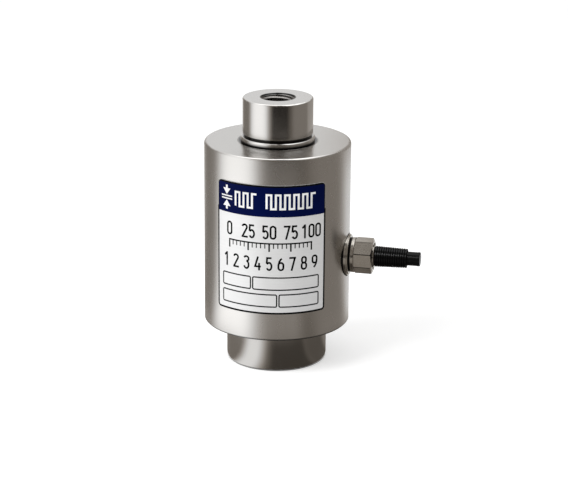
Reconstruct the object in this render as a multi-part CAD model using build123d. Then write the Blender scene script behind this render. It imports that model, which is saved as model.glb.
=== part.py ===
from build123d import *
import os
from math import cos, radians, sin, sqrt

# Column load cell: a turned steel column that carries the load along Z, a round housing
# clamped round it, a cable gland on +X and a curved rating plate that faces -Y.
# Millimetres. The base stands on Z = 0, centred on the load axis.

# Stack of heights along the load axis
base_boss_height = 28.0
housing_height = 127.0
top_boss_height = 30.0

# The column's radius, from which the others build up outwards
top_boss_radius = 24.0
base_edge_chamfer = 0.9
top_edge_rounding = 1.1
housing_top_rounding = 1.7
housing_bottom_chamfer = 0.8

# Housing walls
housing_wall = 8.0
housing_roof = 8.0
housing_inner_rounding = 3.0
seat_step = 3.0                # how far the wide lower bore steps in to the main bore

# Clearances between turned and fitted pieces
close_clearance = 0.05
free_clearance = 0.4

# Column inside the housing
flange_thickness = 10.0
shoulder_width = 7.0           # from the column's surface out to the shoulder's edge
shoulder_height = 8.5
shoulder_rounding = 1.5
column_fillet = 5.0
flat_depth = 4.0
flat_length = 70.0
flat_end_radius = 6.0
neck_depth = 1.0
neck_height = 1.3
neck_chamfer = 0.8

# Tapped hole at each end, drawn at the thread's outer radius
thread_radius = 11.0
thread_depth = 26.0
drill_point_angle = 59.0
countersink_radius = 12.1
thread_minor_radius = 9.65

# Lock ring that clamps the column's flange into the housing
lock_ring_width = 10.05
lock_ring_thickness = 4.9
lock_ring_recess = 0.6
lock_ring_chamfer = 0.5
spanner_hole_radius = 2.5
spanner_hole_depth = 3.5
spanner_hole_count = 4

# Sealing ring in the rim of the flange
seal_groove_width = 2.6
seal_groove_depth = 1.6
seal_width = 2.2
seal_rounding = 0.7

# Diaphragm that closes the gap between the housing's roof and the top boss
diaphragm_width = 3.3          # from the boss out to the ring's rim
diaphragm_depth = 6.0
diaphragm_rim_wall = 0.9
diaphragm_web = 0.8
diaphragm_seat = 1.0
bead_width = 1.3
bead_height = 3.6
bead_rounding = 1.2

# Strain gauges and their terminals on the four flats
flat_count = 4
gauge_film = 0.15
gauge_width = 9.0
gauge_height = 15.0
gauge_corner = 1.0
grid_long = 6.0
grid_short = 4.0
grid_rise = 0.1
grid_spread = 3.6              # from the gauge's centre to each grid's centre
terminal_drop = 17.5           # from the gauges' centre down to the terminals' centre
terminal_width = 8.0
terminal_height = 5.0
terminal_thickness = 0.8
terminal_dot_radius = 0.9
terminal_dot_rise = 0.4
terminal_dot_spacing = 4.0

# Ring-shaped bridge board on three spacers
board_thickness = 1.6
board_width = 8.5
board_inner_clearance = 1.5
board_outer_clearance = 1.0
spacer_height = 5.0
spacer_radius = 3.0
board_screw_radius = 1.5
board_screw_head_radius = 2.75
board_screw_head_height = 1.8
board_screw_bite = 6.0
board_screw_slot_width = 0.7
board_screw_slot_depth = 0.9
board_screw_angles = (45.0, 165.0, 285.0)
resistor_angles = (68.0, 112.0, 135.0, 202.0, 225.0, 248.0)
resistor_radius = 1.2
resistor_length = 5.4
resistor_cap_radius = 1.4
resistor_cap_length = 1.1
resistor_lead_radius = 0.3
resistor_lead_reach = 1.2
wire_hole_clearance = 0.1
wire_tail = 0.6                # how far a wire stands out below the board

# Leads from the terminals and cores from the cable, both ending in the board
lead_radius = 0.5
lead_bend = 1.5
core_radius = 0.7
core_bend = 2.5
core_angles = (-24.0, -10.0, 10.0, 24.0)
core_colours = ("red", "green", "white", "black")
core_gap = 0.3                 # between neighbouring cores inside the cable
core_stagger = 0.4             # outer cores lie this far below the axis, inner ones above

# Cable gland on +X
gland_rise = 49.0              # from the housing's lower edge to the gland's axis
spot_face_margin = 0.75
shank_wall = 3.2
shank_inside = 1.5             # how far the shank stands into the housing's bore
gland_seal_thickness = 1.3
gland_flange_width = 2.25      # how far the flange stands out past the collar
gland_flange_thickness = 2.6
gland_flange_rim = 1.7
gland_flange_step = 0.5        # from the rim down to the second ridge
gland_rim_rounding = 0.35
gland_ridge_rounding = 0.6
gland_groove_depth = 1.6
gland_groove_width = 1.25
groove_ring_recess = 0.2       # how far the rubber ring lies below the collar
groove_ring_rounding = 0.5
collar_step = 2.55             # from the spigot's thread out to the collar
collar_length = 2.4
collar_rounding = 0.4
spigot_wall = 2.0
spigot_length = 9.0
socket_depth = 7.2
nut_gap = 0.2
nut_wall = 1.85                # thinnest wall, at the middle of each side
nut_corner_angle = 25.8        # a corner of the nut points at the viewer
nut_side_count = 8
nut_length = 12.3
nut_front_chamfer = 0.85
nut_front_bevel = 2.05         # how far the front bevel cuts in from the corners
nut_back_chamfer = 0.3
nut_nose_wall = 1.8
nut_nose_length = 0.8
nut_nose_rounding = 0.3
nut_nose_groove_width = 1.2
nut_nose_groove_depth = 0.5
nut_front_wall = 1.8
clamp_wall = 1.0
clamp_length = 8.4
clamp_slot_count = 6
clamp_slot_width = 1.2
clamp_slot_length = 5.5
clamp_taper = 0.5
grommet_wall = 1.65
grommet_length = 8.2
boot_root_wall = 1.35
boot_root_flange = 1.0
boot_length = 22.1
boot_first_wall = 2.35         # from the cable out to the crest of the first rib
boot_last_wall = 1.8
boot_rib_count = 14
boot_groove_depth = 0.55
boot_groove_share = 0.45       # share of each pitch that is groove

# Cable stub
cable_radius = 4.75
cable_wall = 1.2
cable_inside = 4.0             # how far the jacket reaches past the housing's bore
cable_stub_length = 9.2        # from the boot's tip to the cable's end
cable_cap_length = 1.8
cable_cap_rounding = 0.6
cable_cap_rise = 0.12

# Rating plate and its coloured header
plate_thickness = 0.5
plate_centre_angle = -84.0     # about Z, measured from +X
plate_half_angle = 45.5
plate_bottom_margin = 19.2
plate_top_margin = 18.0
plate_corner = 2.6
header_height = 21.5
header_film = 0.12

# Radii from the column out to the housing, then back in to the base boss
shoulder_radius = top_boss_radius + shoulder_width
board_inner_radius = shoulder_radius + board_inner_clearance
board_outer_radius = board_inner_radius + board_width
board_middle_radius = (board_inner_radius + board_outer_radius) / 2
bore_radius = board_outer_radius + board_outer_clearance
housing_radius = bore_radius + housing_wall
wide_bore_radius = bore_radius + seat_step
lock_ring_outer_radius = wide_bore_radius - close_clearance
lock_ring_inner_radius = lock_ring_outer_radius - lock_ring_width
base_boss_radius = lock_ring_inner_radius - free_clearance

# Levels along the load axis, and the radii that go with them
housing_bottom = base_boss_height
housing_top = housing_bottom + housing_height
overall_height = housing_top + top_boss_height
lock_ring_bottom = housing_bottom + lock_ring_recess
flange_bottom = lock_ring_bottom + lock_ring_thickness
flange_top = flange_bottom + flange_thickness
flange_radius = wide_bore_radius - close_clearance
seal_floor_radius = flange_radius - seal_groove_depth
seal_height = (flange_bottom + flange_top) / 2
shoulder_top = flange_top + shoulder_height
roof_bottom = housing_top - housing_roof
diaphragm_radius = top_boss_radius + diaphragm_width
roof_hole_radius = diaphragm_radius + close_clearance
diaphragm_bottom = housing_top - diaphragm_depth
bead_radius = top_boss_radius + bead_width
bead_top = housing_top + bead_height
neck_top = bead_top + neck_height
neck_radius = top_boss_radius - neck_depth
flat_distance = top_boss_radius - flat_depth
flat_centre_height = (shoulder_top + diaphragm_bottom) / 2
flat_bottom = flat_centre_height - flat_length / 2
plate_bottom = housing_bottom + plate_bottom_margin
plate_top = housing_top - plate_top_margin

# The bridge board's levels and the leads' circle
board_bottom = flange_top + spacer_height
board_top = board_bottom + board_thickness
lead_end_radius = board_inner_radius + 3 * lead_radius + wire_hole_clearance

# Radii of the gland, from the cable outwards
gland_height = housing_bottom + gland_rise
cable_bore_radius = cable_radius + close_clearance
grommet_radius = cable_bore_radius + grommet_wall
clamp_radius = grommet_radius + close_clearance + clamp_wall
socket_radius = clamp_radius + close_clearance
spigot_radius = socket_radius + spigot_wall
collar_radius = spigot_radius + collar_step
gland_groove_radius = collar_radius - gland_groove_depth
gland_flange_radius = collar_radius + gland_flange_width
spot_face_radius = gland_flange_radius + spot_face_margin
shank_radius = cable_bore_radius + shank_wall
nut_bore_radius = spigot_radius + close_clearance
nut_corner_radius = (nut_bore_radius + nut_wall) / cos(radians(180 / nut_side_count))
boot_root_radius = cable_bore_radius + boot_root_wall
boot_first_radius = cable_bore_radius + boot_first_wall
boot_last_radius = cable_bore_radius + boot_last_wall
nut_hole_radius = boot_root_radius + close_clearance
nut_nose_radius = nut_hole_radius + nut_nose_wall

# Stations along the gland, as distances from the load axis
spot_face_x = sqrt(housing_radius ** 2 - spot_face_radius ** 2)
gland_seal_end = spot_face_x + gland_seal_thickness
flange_end = gland_seal_end + gland_flange_thickness
collar_start = flange_end + gland_groove_width
collar_end = collar_start + collar_length
spigot_end = collar_end + spigot_length
socket_start = spigot_end - socket_depth
nut_start = collar_end + nut_gap
nut_shoulder = nut_start + nut_length
nut_end = nut_shoulder + nut_nose_length
nut_wall_start = nut_end - nut_front_wall
boot_end = nut_end + boot_length
shank_end = bore_radius - shank_inside
cable_start = bore_radius - cable_inside
cable_end = boot_end + cable_stub_length
cable_cap_start = cable_end - cable_cap_length
cable_cap_back = cable_cap_start - cable_cap_length


def rounded(face, corner, size):
    """Round the corner of a face that lies nearest to a (radius, height) point."""
    point = (corner[0], 0, corner[1])
    return fillet(face.vertices().sort_by_distance(point)[0], size)


def outline(points):
    """Close a list of (x, z) points into a face on the XZ plane."""
    return make_face(Polyline([(x, 0, z) for x, z in points], close=True))


def turned(points, corners=()):
    """Turn a (radius, height) outline about Z, with (corner, size) roundings first."""
    face = outline(points)
    for corner, size in corners:
        face = rounded(face, corner, size)
    return revolve(face, Axis.Z)


def gland_turned(points, corners=()):
    """Turn an (x, radius) outline about the gland's axis."""
    face = outline(points)
    for corner, size in corners:
        face = rounded(face, corner, size)
    return Pos(0, 0, gland_height) * revolve(face, Axis.X)


def about_z(piece, angle):
    """Swing a piece about the load axis."""
    return Rot(0, 0, angle) * piece


def on_circle(radius, angle, height):
    """A point at a radius, an angle from +X and a height."""
    return (radius * cos(radians(angle)), radius * sin(radians(angle)), height)


def wire(points, radius, bend):
    """A round wire along straight runs joined by tangent arcs."""
    path = FilletPolyline(*points, radius=bend)
    section = Plane(origin=path @ 0, z_dir=path % 0) * Circle(radius)
    return sweep(section, path=path)


def tapped_hole():
    """The space of a countersunk blind hole that opens upwards at Z = 0."""
    sink = countersink_radius - thread_radius
    point = thread_minor_radius / cos(radians(90 - drill_point_angle)) * cos(radians(drill_point_angle))
    return turned([
        (0, 0),
        (countersink_radius, 0),
        (thread_radius, -sink),
        (thread_radius, -thread_depth),
        (thread_minor_radius, -thread_depth),
        (0, -thread_depth - point),
    ])


def flat_cutter():
    """The space that a cutter clears for one gauge flat, on the +X side."""
    outside = top_boss_radius + flat_end_radius
    low, high = flat_bottom, flat_bottom + flat_length
    face = outline([(flat_distance, low), (outside, low), (outside, high), (flat_distance, high)])
    face = rounded(face, (flat_distance, low), flat_end_radius)
    face = rounded(face, (flat_distance, high), flat_end_radius)
    return extrude(face, top_boss_radius, both=True)


def column_blank():
    """The turned column with its bosses, clamping flange, shoulder and neck."""
    seal_low = seal_height - seal_groove_width / 2
    seal_high = seal_height + seal_groove_width / 2
    points = [
        (0, 0),
        (base_boss_radius - base_edge_chamfer, 0),
        (base_boss_radius, base_edge_chamfer),
        (base_boss_radius, flange_bottom),
        (flange_radius, flange_bottom),
        (flange_radius, seal_low),
        (seal_floor_radius, seal_low),
        (seal_floor_radius, seal_high),
        (flange_radius, seal_high),
        (flange_radius, flange_top),
        (shoulder_radius, flange_top),
        (shoulder_radius, shoulder_top),
        (top_boss_radius, shoulder_top),
        (top_boss_radius, bead_top),
        (neck_radius, bead_top),
        (neck_radius, neck_top),
        (top_boss_radius - neck_chamfer, neck_top),
        (top_boss_radius, neck_top + neck_chamfer),
        (top_boss_radius, overall_height),
        (0, overall_height),
    ]
    corners = [
        ((shoulder_radius, shoulder_top), shoulder_rounding),
        ((top_boss_radius, shoulder_top), column_fillet),
        ((top_boss_radius, overall_height), top_edge_rounding),
    ]
    return turned(points, corners)


def board_screw_spots():
    """Where the three board screws stand, as points on the flange's top."""
    return [on_circle(board_middle_radius, angle, flange_top) for angle in board_screw_angles]


def load_column():
    """The sensing column: one turned piece with four milled flats and a tapped hole at each end."""
    column = column_blank()
    for number in range(flat_count):
        column -= about_z(flat_cutter(), number * 360 / flat_count)
    column -= Pos(0, 0, overall_height) * tapped_hole()
    column -= Rot(180, 0, 0) * tapped_hole()
    for spot in board_screw_spots():
        drill = Cylinder(board_screw_radius + close_clearance, board_screw_bite,
                         align=(Align.CENTER, Align.CENTER, Align.MAX))
        column -= Pos(*spot) * drill
    return column


def housing_shell():
    """The round housing: a tube with its own roof, a wide lower bore and a faced cable hole."""
    chamfer = housing_bottom_chamfer
    seat_radius = roof_hole_radius - diaphragm_seat
    points = [
        (wide_bore_radius, housing_bottom),
        (housing_radius - chamfer, housing_bottom),
        (housing_radius, housing_bottom + chamfer),
        (housing_radius, housing_top),
        (roof_hole_radius, housing_top),
        (roof_hole_radius, diaphragm_bottom),
        (seat_radius, diaphragm_bottom),
        (seat_radius, roof_bottom),
        (bore_radius, roof_bottom),
        (bore_radius, flange_top),
        (wide_bore_radius, flange_top),
    ]
    corners = [
        ((housing_radius, housing_top), housing_top_rounding),
        ((bore_radius, roof_bottom), housing_inner_rounding),
    ]
    hole_radius = shank_radius + close_clearance
    outside = housing_radius + housing_wall
    shell = turned(points, corners)
    shell -= gland_turned([(0, 0), (housing_radius, 0), (housing_radius, hole_radius), (0, hole_radius)])
    shell -= gland_turned([(spot_face_x, 0), (outside, 0), (outside, spot_face_radius),
                           (spot_face_x, spot_face_radius)])
    return shell


def bottom_lock_ring():
    """The ring that screws up behind the flange, with blind holes for a pin spanner."""
    inner = lock_ring_inner_radius
    outer = lock_ring_outer_radius
    points = [
        (inner + lock_ring_chamfer, lock_ring_bottom),
        (outer - lock_ring_chamfer, lock_ring_bottom),
        (outer, lock_ring_bottom + lock_ring_chamfer),
        (outer, flange_bottom),
        (inner, flange_bottom),
        (inner, lock_ring_bottom + lock_ring_chamfer),
    ]
    ring = turned(points)
    drill = Cylinder(spanner_hole_radius, spanner_hole_depth, align=(Align.CENTER, Align.CENTER, Align.MIN))
    for number in range(spanner_hole_count):
        angle = (number + 0.5) * 360 / spanner_hole_count
        ring -= Pos(*on_circle((inner + outer) / 2, angle, lock_ring_bottom)) * drill
    return ring


def flange_seal():
    """The rubber ring, squeezed between the flange's groove and the housing."""
    low = seal_height - seal_width / 2
    high = seal_height + seal_width / 2
    points = [(seal_floor_radius, low), (wide_bore_radius, low),
              (wide_bore_radius, high), (seal_floor_radius, high)]
    return turned(points, [(point, seal_rounding) for point in points])


def top_diaphragm():
    """The thin-webbed ring let into the roof, whose inner lip forms a bead round the boss."""
    inner = top_boss_radius + close_clearance
    rim_inner = diaphragm_radius - diaphragm_rim_wall
    web_bottom = housing_top - diaphragm_web
    points = [
        (inner, diaphragm_bottom),
        (bead_radius, diaphragm_bottom),
        (bead_radius, web_bottom),
        (rim_inner, web_bottom),
        (rim_inner, diaphragm_bottom),
        (diaphragm_radius, diaphragm_bottom),
        (diaphragm_radius, housing_top),
        (bead_radius, housing_top),
        (bead_radius, bead_top),
        (inner, bead_top),
    ]
    return turned(points, [((bead_radius, bead_top), bead_rounding)])


def on_flat(piece, number, height):
    """Move a piece drawn on the YZ plane on to one of the four flats."""
    return about_z(Pos(flat_distance, 0, height) * piece, number * 360 / flat_count)


def raised_patch(width, height, rise, corner=0.0):
    """A flat patch that stands on the YZ plane and rises along +X."""
    shape = RectangleRounded(width, height, corner) if corner else Rectangle(width, height)
    return extrude(Plane.YZ * shape, rise)


def strain_gauge(number):
    """A tee gauge: one film with an upright grid above a crosswise grid."""
    gauge = raised_patch(gauge_width, gauge_height, gauge_film, gauge_corner)
    upright = raised_patch(grid_short, grid_long, gauge_film + grid_rise)
    crosswise = raised_patch(grid_long, grid_short, gauge_film + grid_rise)
    gauge += Pos(0, 0, grid_spread) * upright
    gauge += Pos(0, 0, -grid_spread) * crosswise
    return on_flat(gauge, number, flat_centre_height)


def terminal_pad(number):
    """The small solder terminal below each gauge."""
    pad = raised_patch(terminal_width, terminal_height, terminal_thickness)
    dot = extrude(Plane.YZ * Circle(terminal_dot_radius), terminal_thickness + terminal_dot_rise)
    pad += Pos(0, terminal_dot_spacing / 2, 0) * dot
    pad += Pos(0, -terminal_dot_spacing / 2, 0) * dot
    return on_flat(pad, number, flat_centre_height - terminal_drop)


def gauge_lead(number):
    """The lead from one terminal, out over the column's shoulder and down into the board."""
    start_radius = flat_distance + terminal_thickness + lead_radius
    start_height = flat_centre_height - terminal_drop
    clear_radius = shoulder_radius + shoulder_rounding
    route = [
        (start_radius, 0, start_height),
        (start_radius, 0, start_height - terminal_height),
        (clear_radius, 0, shoulder_top + column_fillet),
        (lead_end_radius, 0, shoulder_top + lead_bend),
        (lead_end_radius, 0, board_bottom - wire_tail),
    ]
    return about_z(wire(route, lead_radius, lead_bend), number * 360 / flat_count)


def bridge_board():
    """The ring-shaped circuit board with its screw holes and wire holes."""
    board = turned([(board_inner_radius, board_bottom), (board_outer_radius, board_bottom),
                    (board_outer_radius, board_top), (board_inner_radius, board_top)])
    through = 3 * board_thickness
    screw_hole = Cylinder(board_screw_radius + wire_hole_clearance, through)
    lead_hole = Cylinder(lead_radius + wire_hole_clearance, through)
    core_hole = Cylinder(core_radius + wire_hole_clearance, through)
    for angle in board_screw_angles:
        board -= Pos(*on_circle(board_middle_radius, angle, board_bottom)) * screw_hole
    for number in range(flat_count):
        board -= Pos(*on_circle(lead_end_radius, number * 360 / flat_count, board_bottom)) * lead_hole
    for angle in core_angles:
        board -= Pos(*on_circle(board_middle_radius, angle, board_bottom)) * core_hole
    return board


def board_spacers():
    """Three round spacers between the flange and the board."""
    ring = Circle(spacer_radius) - Circle(board_screw_radius + wire_hole_clearance)
    spacer = extrude(ring, spacer_height)
    return Compound([Pos(*spot) * spacer.solid() for spot in board_screw_spots()])


def board_screw():
    """A slotted screw whose head rests at Z = 0 and whose shank goes down."""
    head = Cylinder(board_screw_head_radius, board_screw_head_height,
                    align=(Align.CENTER, Align.CENTER, Align.MIN))
    slot = Pos(0, 0, board_screw_head_height) * Box(
        3 * board_screw_head_radius, board_screw_slot_width, 2 * board_screw_slot_depth)
    length = board_thickness + spacer_height + board_screw_bite - close_clearance
    shank = Cylinder(board_screw_radius, length, align=(Align.CENTER, Align.CENTER, Align.MAX))
    return head - slot + shank


def board_screws():
    """The three screws that hold the board down on its spacers."""
    screw = board_screw().solid()
    lift = board_top - flange_top
    return Compound([Pos(x, y, z + lift) * screw for x, y, z in board_screw_spots()])


def resistor():
    """A trimming resistor lying along Y with its leads bent down to Z = 0."""
    axis_height = resistor_cap_radius
    half = resistor_length / 2
    reach = half + resistor_lead_reach
    body = Rot(90, 0, 0) * Cylinder(resistor_radius, resistor_length)
    for side in (1, -1):
        cap = Rot(90, 0, 0) * Cylinder(resistor_cap_radius, resistor_cap_length)
        body += Pos(0, side * (half - resistor_cap_length / 2), 0) * cap
    leads = wire([(0, -reach, -axis_height), (0, -reach, 0), (0, reach, 0), (0, reach, -axis_height)],
                 resistor_lead_radius, 2 * resistor_lead_radius)
    return Pos(0, 0, axis_height) * (body + leads)


def trim_resistors():
    """The resistors that trim the bridge, laid round the board."""
    piece = resistor().solid()
    placed = [about_z(Pos(board_middle_radius, 0, board_top) * piece, angle) for angle in resistor_angles]
    return Compound(placed)


def cable_core(number):
    """One insulated core, from the capped end of the cable down to its hole in the board."""
    angle = core_angles[number]
    from_middle = number - (len(core_angles) - 1) / 2
    side = from_middle * (2 * core_radius + core_gap)
    outer_pair = abs(from_middle) > 1
    level = gland_height + (-core_stagger if outer_pair else core_stagger)
    route = [
        (cable_cap_back - free_clearance, side, level),
        (cable_start - core_bend, side, level),
        on_circle(board_middle_radius, angle, (gland_height + board_top) / 2),
        on_circle(board_middle_radius, angle, board_bottom - wire_tail),
    ]
    return wire(route, core_radius, core_bend)


def gland_seal():
    """The flat rubber washer between the spot face and the gland's flange."""
    inner = shank_radius + close_clearance
    return gland_turned([(spot_face_x, inner), (gland_seal_end, inner),
                         (gland_seal_end, gland_flange_radius), (spot_face_x, gland_flange_radius)])


def groove_ring():
    """The rubber ring that fills the groove between the gland's flange and its collar."""
    crest = collar_radius - groove_ring_recess
    return gland_turned([
        (flange_end, gland_groove_radius),
        (flange_end, crest),
        (collar_start, crest),
        (collar_start, gland_groove_radius),
    ], [((flange_end, crest), groove_ring_rounding), ((collar_start, crest), groove_ring_rounding)])


def gland_body():
    """The gland's body: shank in the wall, stepped flange, groove, collar and threaded spigot."""
    rim_end = gland_seal_end + gland_flange_rim
    ridge_radius = gland_flange_radius - gland_flange_step
    points = [
        (shank_end, cable_bore_radius),
        (shank_end, shank_radius),
        (gland_seal_end, shank_radius),
        (gland_seal_end, gland_flange_radius),
        (rim_end, gland_flange_radius),
        (rim_end, ridge_radius),
        (flange_end, ridge_radius),
        (flange_end, gland_groove_radius),
        (collar_start, gland_groove_radius),
        (collar_start, collar_radius),
        (collar_end, collar_radius),
        (collar_end, spigot_radius),
        (spigot_end, spigot_radius),
        (spigot_end, socket_radius),
        (socket_start, socket_radius),
        (socket_start, cable_bore_radius),
    ]
    corners = [
        ((rim_end, gland_flange_radius), gland_rim_rounding),
        ((flange_end, ridge_radius), gland_ridge_rounding),
        ((collar_start, collar_radius), collar_rounding),
        ((collar_end, collar_radius), collar_rounding),
    ]
    return gland_turned(points, corners)


def nut_envelope():
    """The turned form that bevels the nut's corners and carries its round nose in a ring groove."""
    back_slope = nut_corner_radius - nut_back_chamfer
    groove_floor = nut_shoulder - nut_nose_groove_depth
    groove_edge = nut_nose_radius + nut_nose_groove_width
    return gland_turned([
        (nut_start, 0),
        (nut_start, back_slope),
        (nut_start + nut_back_chamfer, nut_corner_radius),
        (nut_shoulder - nut_front_chamfer, nut_corner_radius),
        (nut_shoulder, nut_corner_radius - nut_front_bevel),
        (nut_shoulder, groove_edge),
        (groove_floor, groove_edge),
        (groove_floor, nut_nose_radius),
        (nut_end, nut_nose_radius),
        (nut_end, 0),
    ], [((nut_end, nut_nose_radius), nut_nose_rounding)])


def gland_nut():
    """The eight-sided clamping nut with bevelled ends and a short round nose."""
    section = Plane((nut_start, 0, gland_height), x_dir=(0, 1, 0), z_dir=(1, 0, 0)) * RegularPolygon(
        nut_corner_radius, nut_side_count, rotation=nut_corner_angle)
    nut = extrude(section, nut_end - nut_start) & nut_envelope()
    relief_start = spigot_end + free_clearance
    nut -= gland_turned([
        (nut_start, 0),
        (nut_start, nut_bore_radius),
        (relief_start, nut_bore_radius),
        (relief_start, socket_radius),
        (nut_wall_start, socket_radius),
        (nut_wall_start, nut_hole_radius),
        (nut_end, nut_hole_radius),
        (nut_end, 0),
    ])
    return nut


def clamping_insert():
    """The slotted plastic sleeve that the nut squeezes on to the grommet."""
    end = socket_start + clamp_length
    sleeve = gland_turned([
        (socket_start, clamp_radius - clamp_wall),
        (socket_start, clamp_radius),
        (end - clamp_taper, clamp_radius),
        (end, clamp_radius - clamp_taper),
        (end, clamp_radius - clamp_wall),
    ])
    slot = Box(clamp_slot_length, clamp_slot_width, 2 * clamp_radius,
               align=(Align.MAX, Align.CENTER, Align.MIN))
    for number in range(clamp_slot_count):
        turn = Rot(number * 360 / clamp_slot_count, 0, 0) * slot
        sleeve -= Pos(end, 0, gland_height) * turn
    return sleeve


def sealing_grommet():
    """The rubber sleeve that grips and seals the cable inside the insert."""
    end = socket_start + grommet_length
    return gland_turned([
        (socket_start, cable_bore_radius),
        (socket_start, grommet_radius),
        (end - clamp_taper, grommet_radius),
        (end, grommet_radius - clamp_taper),
        (end, cable_bore_radius),
    ])


def boot_ribs():
    """The boot's outside from root to tip: square ribs that shrink along a light taper."""
    pitch = boot_length / boot_rib_count
    points = []
    for number in range(boot_rib_count):
        share = number / (boot_rib_count - 1)
        crest = boot_first_radius + (boot_last_radius - boot_first_radius) * share
        start = nut_end + number * pitch
        middle = start + pitch * boot_groove_share
        floor = crest - boot_groove_depth
        points += [(start, floor), (middle, floor), (middle, crest), (start + pitch, crest)]
    return points


def strain_relief_boot():
    """The ribbed rubber boot, held behind the nut's front wall by its root flange."""
    flange_back = nut_wall_start - boot_root_flange
    points = [(flange_back, cable_bore_radius), (flange_back, clamp_radius), (nut_wall_start, clamp_radius),
              (nut_wall_start, boot_root_radius), (nut_end, boot_root_radius)]
    points += boot_ribs()
    points += [(boot_end, cable_bore_radius)]
    return gland_turned(points)


def cable_jacket():
    """The cable's jacket, from inside the housing out to the capped end."""
    hollow = cable_radius - cable_wall
    return gland_turned([(cable_start, hollow), (cable_start, cable_radius),
                         (cable_cap_start, cable_radius), (cable_cap_start, hollow)])


def cable_end_cap():
    """The cap that closes the cable's short stub, with a spigot inside the jacket."""
    rim = cable_radius + cable_cap_rise
    spigot = cable_radius - cable_wall - close_clearance
    points = [
        (cable_cap_back, 0),
        (cable_cap_back, spigot),
        (cable_cap_start, spigot),
        (cable_cap_start, rim),
        (cable_end, rim),
        (cable_end, 0),
    ]
    return gland_turned(points, [((cable_end, rim), cable_cap_rounding)])


def curved_film(inner, thickness, low, high, corner):
    """A thin sheet bent round the housing, cut to a window with rounded corners."""
    half_width = housing_radius * sin(radians(plate_half_angle))
    sheet = Cylinder(inner + thickness, high - low) - Cylinder(inner, high - low)
    window = extrude(Plane.YZ * RectangleRounded(2 * half_width, high - low, corner), 2 * housing_radius)
    return about_z(Pos(0, 0, (low + high) / 2) * (sheet & window), plate_centre_angle)


def rating_plate():
    """The thin metal plate stuck to the housing."""
    return curved_film(housing_radius, plate_thickness, plate_bottom, plate_top, plate_corner)


def header_field():
    """The coloured field across the top of the plate."""
    return curved_film(housing_radius + plate_thickness, header_film,
                       plate_top - header_height, plate_top, plate_corner)


def all_pieces():
    """Every piece of the load cell, by name."""
    pieces = {
        "load_column": load_column(),
        "housing_shell": housing_shell(),
        "bottom_lock_ring": bottom_lock_ring(),
        "flange_seal": flange_seal(),
        "top_diaphragm": top_diaphragm(),
        "bridge_board": bridge_board(),
        "board_spacers": board_spacers(),
        "board_screws": board_screws(),
        "trim_resistors": trim_resistors(),
        "gland_seal": gland_seal(),
        "gland_body": gland_body(),
        "groove_ring": groove_ring(),
        "gland_nut": gland_nut(),
        "clamping_insert": clamping_insert(),
        "sealing_grommet": sealing_grommet(),
        "strain_relief_boot": strain_relief_boot(),
        "cable_jacket": cable_jacket(),
        "cable_end_cap": cable_end_cap(),
        "rating_plate": rating_plate(),
        "header_field": header_field(),
    }
    for number in range(flat_count):
        pieces[f"strain_gauge_{number + 1}"] = strain_gauge(number)
        pieces[f"terminal_pad_{number + 1}"] = terminal_pad(number)
        pieces[f"gauge_lead_{number + 1}"] = gauge_lead(number)
    for number, colour in enumerate(core_colours):
        pieces[f"core_{colour}"] = cable_core(number)
    return pieces


os.makedirs("parts", exist_ok=True)
for name, piece in all_pieces().items():
    export_step(piece, f"parts/{name}.step")
    print(f"{name}: {piece.volume / 1000:.2f} cm3")
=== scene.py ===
# %% [markdown]
# A column load cell, dressed in Blender
#
# A load cell of this kind is a steel column that carries a press load between its two bosses. The
# middle of the column is squeezed by a tiny amount, and wire gauges glued to it turn that into a
# signal that leaves through the cable gland on the side. A turned housing keeps the gauges dry.
#
# The shapes come from a packed CAD model that is loaded as a fixed frame. This lesson adds what the
# eye wants to see: a camera, a studio, turned and plated metal, moulded rubber, screw threads, a
# weld line and the print on the rating plate. The pieces inside the housing get finishes too.

from collections import namedtuple
from math import atan2, cos, degrees, radians, sin

import bmesh
import bpy
from mathutils import Matrix, Vector


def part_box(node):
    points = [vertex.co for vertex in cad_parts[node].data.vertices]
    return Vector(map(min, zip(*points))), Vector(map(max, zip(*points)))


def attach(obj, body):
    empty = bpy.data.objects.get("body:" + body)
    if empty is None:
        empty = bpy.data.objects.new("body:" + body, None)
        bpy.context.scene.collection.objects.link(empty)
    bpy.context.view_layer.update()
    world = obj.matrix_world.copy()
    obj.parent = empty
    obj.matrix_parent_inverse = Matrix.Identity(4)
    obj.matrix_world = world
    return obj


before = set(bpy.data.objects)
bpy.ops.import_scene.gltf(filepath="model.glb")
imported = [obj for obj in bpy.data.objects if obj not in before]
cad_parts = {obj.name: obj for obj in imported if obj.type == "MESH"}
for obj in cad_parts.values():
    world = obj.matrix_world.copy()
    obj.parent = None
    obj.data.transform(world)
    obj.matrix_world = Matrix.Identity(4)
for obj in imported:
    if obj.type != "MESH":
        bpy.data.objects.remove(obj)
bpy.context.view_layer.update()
mm = 0.001

# %% [markdown]
# The camera
#
# The picture was taken from a little above and a little to the right of the rating plate, with a
# long lens, so the upright lines stay nearly parallel. A camera can be aimed with a constraint, but
# a constraint always keeps the horizon level. Here the three axes are worked out one by one instead,
# because the picture has a small roll. The lens follows from its focal length, which is known here
# in pixels of a picture that is 568 pixels wide.

# %% Camera
image_width = 568
view_side = radians(12)
view_height = radians(17.596)
view_distance = 1.4
view_target = Vector((0, 0, 0.090))
view_yaw, view_pitch, view_roll = radians(0.204), radians(-0.277), radians(0.409)
focal_pixels = 2033.2
sensor_width = 36

turn_to_view = Matrix.Rotation(view_side, 3, "Z")
towards_camera = Vector((0, -cos(view_height), sin(view_height)))
look_height = view_pitch - view_height
forward = Vector((sin(view_yaw) * cos(look_height), cos(view_yaw) * cos(look_height),
                  sin(look_height)))
level_right = forward.cross(Vector((0, 0, 1))).normalized()
level_up = level_right.cross(forward)
right = level_right * cos(view_roll) + level_up * sin(view_roll)
up = level_up * cos(view_roll) - level_right * sin(view_roll)
axes = turn_to_view @ Matrix((right, up, -forward)).transposed()

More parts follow.
